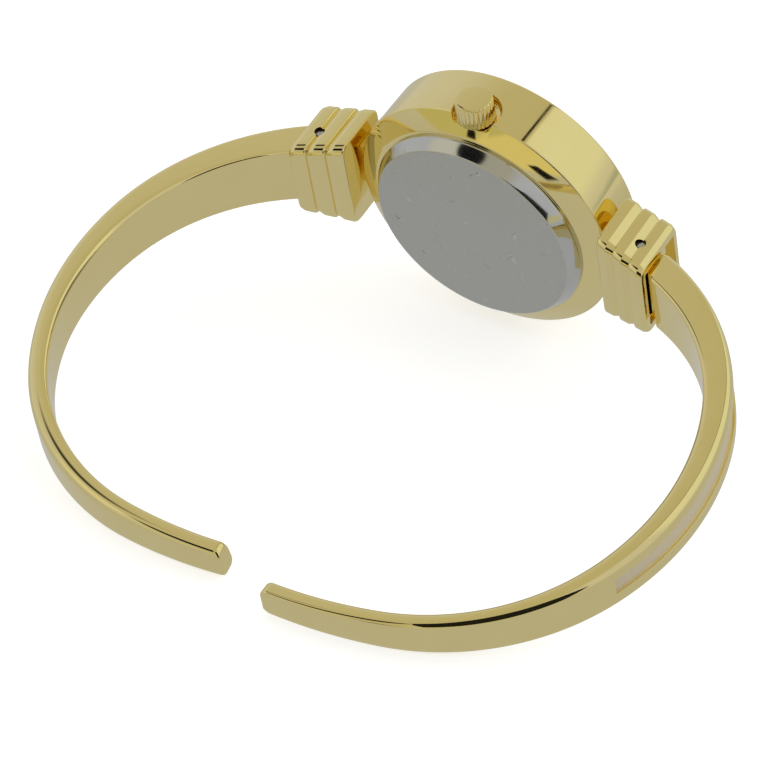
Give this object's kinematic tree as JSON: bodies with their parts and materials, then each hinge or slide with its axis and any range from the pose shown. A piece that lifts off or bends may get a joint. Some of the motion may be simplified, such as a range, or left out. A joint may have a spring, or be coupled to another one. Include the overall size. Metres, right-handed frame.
{
  "type": "bangle watch",
  "caption": "Bangle watch: round case with snap back and pull-out crown between ribbed end blocks, and tapered open cuff arms hinged on pins to close around the wrist.",
  "frame": {"origin": "middle of the wrist opening, halfway between the case back and the closed arm tips and halfway through the case's width", "axes": "+Z along the wrist axis and out of the crown; +Y out through the dial; +X towards the 12 o'clock end block"},
  "size_m": [0.0652, 0.0533, 0.0275],
  "materials": {
    "gold_plate": "polished pale gold plate",
    "gold_trim": "polished gold-tone",
    "steel": "plain",
    "steel_back": "satin face with polished rim",
    "rubber_seal": "matte",
    "nylon_seal": "matte",
    "mineral_glass": "polished",
    "dial_paint": "pale sunburst",
    "white_plastic": "moulded",
    "nickel_plate": "nickel-plated, satin",
    "cell_steel": "nickel-plated",
    "board_laminate": "solder mask",
    "chip_plastic": "moulded resin",
    "copper_wire": "enamelled wire",
    "magnet_metal": "sintered",
    "wheel_brass": "gilt"
  },
  "bodies": {
    "watch_head": {"case": "gold_plate", "case_back": "steel_back", "case_back_gasket": "rubber_seal", "crystal": "mineral_glass", "crystal_gasket": "nylon_seal", "dial": "dial_paint", "hour_markers": "gold_trim", "movement_ring": "white_plastic", "main_plate": "nickel_plate", "train_bridge": "nickel_plate", "movement_screws": "steel", "battery": "cell_steel", "battery_clip": "steel", "circuit_board": "board_laminate", "circuit_chip": "chip_plastic", "quartz_can": "cell_steel", "coil_core": "steel", "coil_winding": "copper_wire", "stator": "steel", "crown_tube": "steel", "left_block": "gold_plate", "right_block": "gold_plate", "left_hinge_pin": "steel", "right_hinge_pin": "steel"},
    "minute_group": {"centre_wheel": "wheel_brass", "cannon_pinion": "wheel_brass", "minute_hand": "gold_trim"},
    "hour_group": {"hour_wheel": "wheel_brass", "hour_hand": "gold_trim"},
    "minute_wheel_group": {"minute_wheel": "wheel_brass"},
    "third_group": {"third_wheel": "wheel_brass"},
    "intermediate_group": {"intermediate_wheel": "wheel_brass"},
    "rotor_group": {"rotor": "magnet_metal"},
    "crown_carrier": {"crown_gasket": "rubber_seal"},
    "crown_group": {"crown": "gold_plate", "setting_stem": "steel", "clutch_wheel": "steel"},
    "lever_group": {"setting_lever": "steel"},
    "left_arm_group": {"left_arm": "gold_plate"},
    "right_arm_group": {"right_arm": "gold_plate"}
  },
  "joints": [
    {"name": "left_arm_hinge", "type": "hinge", "parent": "watch_head", "child": "left_arm_group", "pos_m": [-0.01685, 0.02295, 0], "axis": [0, 0, -1], "range_deg": [0, 12]},
    {"name": "right_arm_hinge", "type": "hinge", "parent": "watch_head", "child": "right_arm_group", "pos_m": [0.01685, 0.02295, 0], "axis": [0, 0, 1], "range_deg": [-4.5, 4.7]},
    {"name": "minute_spin", "type": "hinge", "parent": "watch_head", "child": "minute_group", "pos_m": [0, 0.0265, 0], "axis": [0, -1, 0], "continuous": true},
    {"name": "hour_spin", "type": "hinge", "parent": "watch_head", "child": "hour_group", "pos_m": [0, 0.0265, 0], "axis": [0, -1, 0], "continuous": true},
    {"name": "minute_wheel_spin", "type": "hinge", "parent": "watch_head", "child": "minute_wheel_group", "pos_m": [0.00189, 0.0262, 0.00148], "axis": [0, -1, 0], "continuous": true},
    {"name": "third_wheel_spin", "type": "hinge", "parent": "watch_head", "child": "third_group", "pos_m": [-0.00286, 0.0248, -0.0009], "axis": [0, -1, 0], "continuous": true},
    {"name": "intermediate_wheel_spin", "type": "hinge", "parent": "watch_head", "child": "intermediate_group", "pos_m": [-0.0032, 0.0244, 0.0018], "axis": [0, -1, 0], "continuous": true},
    {"name": "rotor_spin", "type": "hinge", "parent": "watch_head", "child": "rotor_group", "pos_m": [-0.00507, 0.025, 0.00367], "axis": [0, -1, 0], "continuous": true},
    {"name": "crown_pull", "type": "slide", "parent": "watch_head", "child": "crown_carrier", "axis": [0, 0, 1], "range_m": [0, 0.0008]},
    {"name": "crown_spin", "type": "hinge", "parent": "crown_carrier", "child": "crown_group", "pos_m": [0, 0.0244, 0.013], "axis": [0, 0, 1], "continuous": true},
    {"name": "setting_lever_hinge", "type": "hinge", "parent": "watch_head", "child": "lever_group", "pos_m": [0.0018, 0.025, 0.0055], "axis": [0, 1, 0], "range_deg": [0, 25.68]}
  ],
  "couplings": [
    {"joint": "hour_spin", "follows": "minute_spin", "ratio": 0.083333},
    {"joint": "minute_wheel_spin", "follows": "minute_spin", "ratio": -0.33333},
    {"joint": "third_wheel_spin", "follows": "minute_spin", "ratio": -4},
    {"joint": "intermediate_wheel_spin", "follows": "minute_spin", "ratio": 18},
    {"joint": "rotor_spin", "follows": "minute_spin", "ratio": -90},
    {"joint": "setting_lever_hinge", "follows": "crown_pull", "rad_per_m": 560.25}
  ]
}
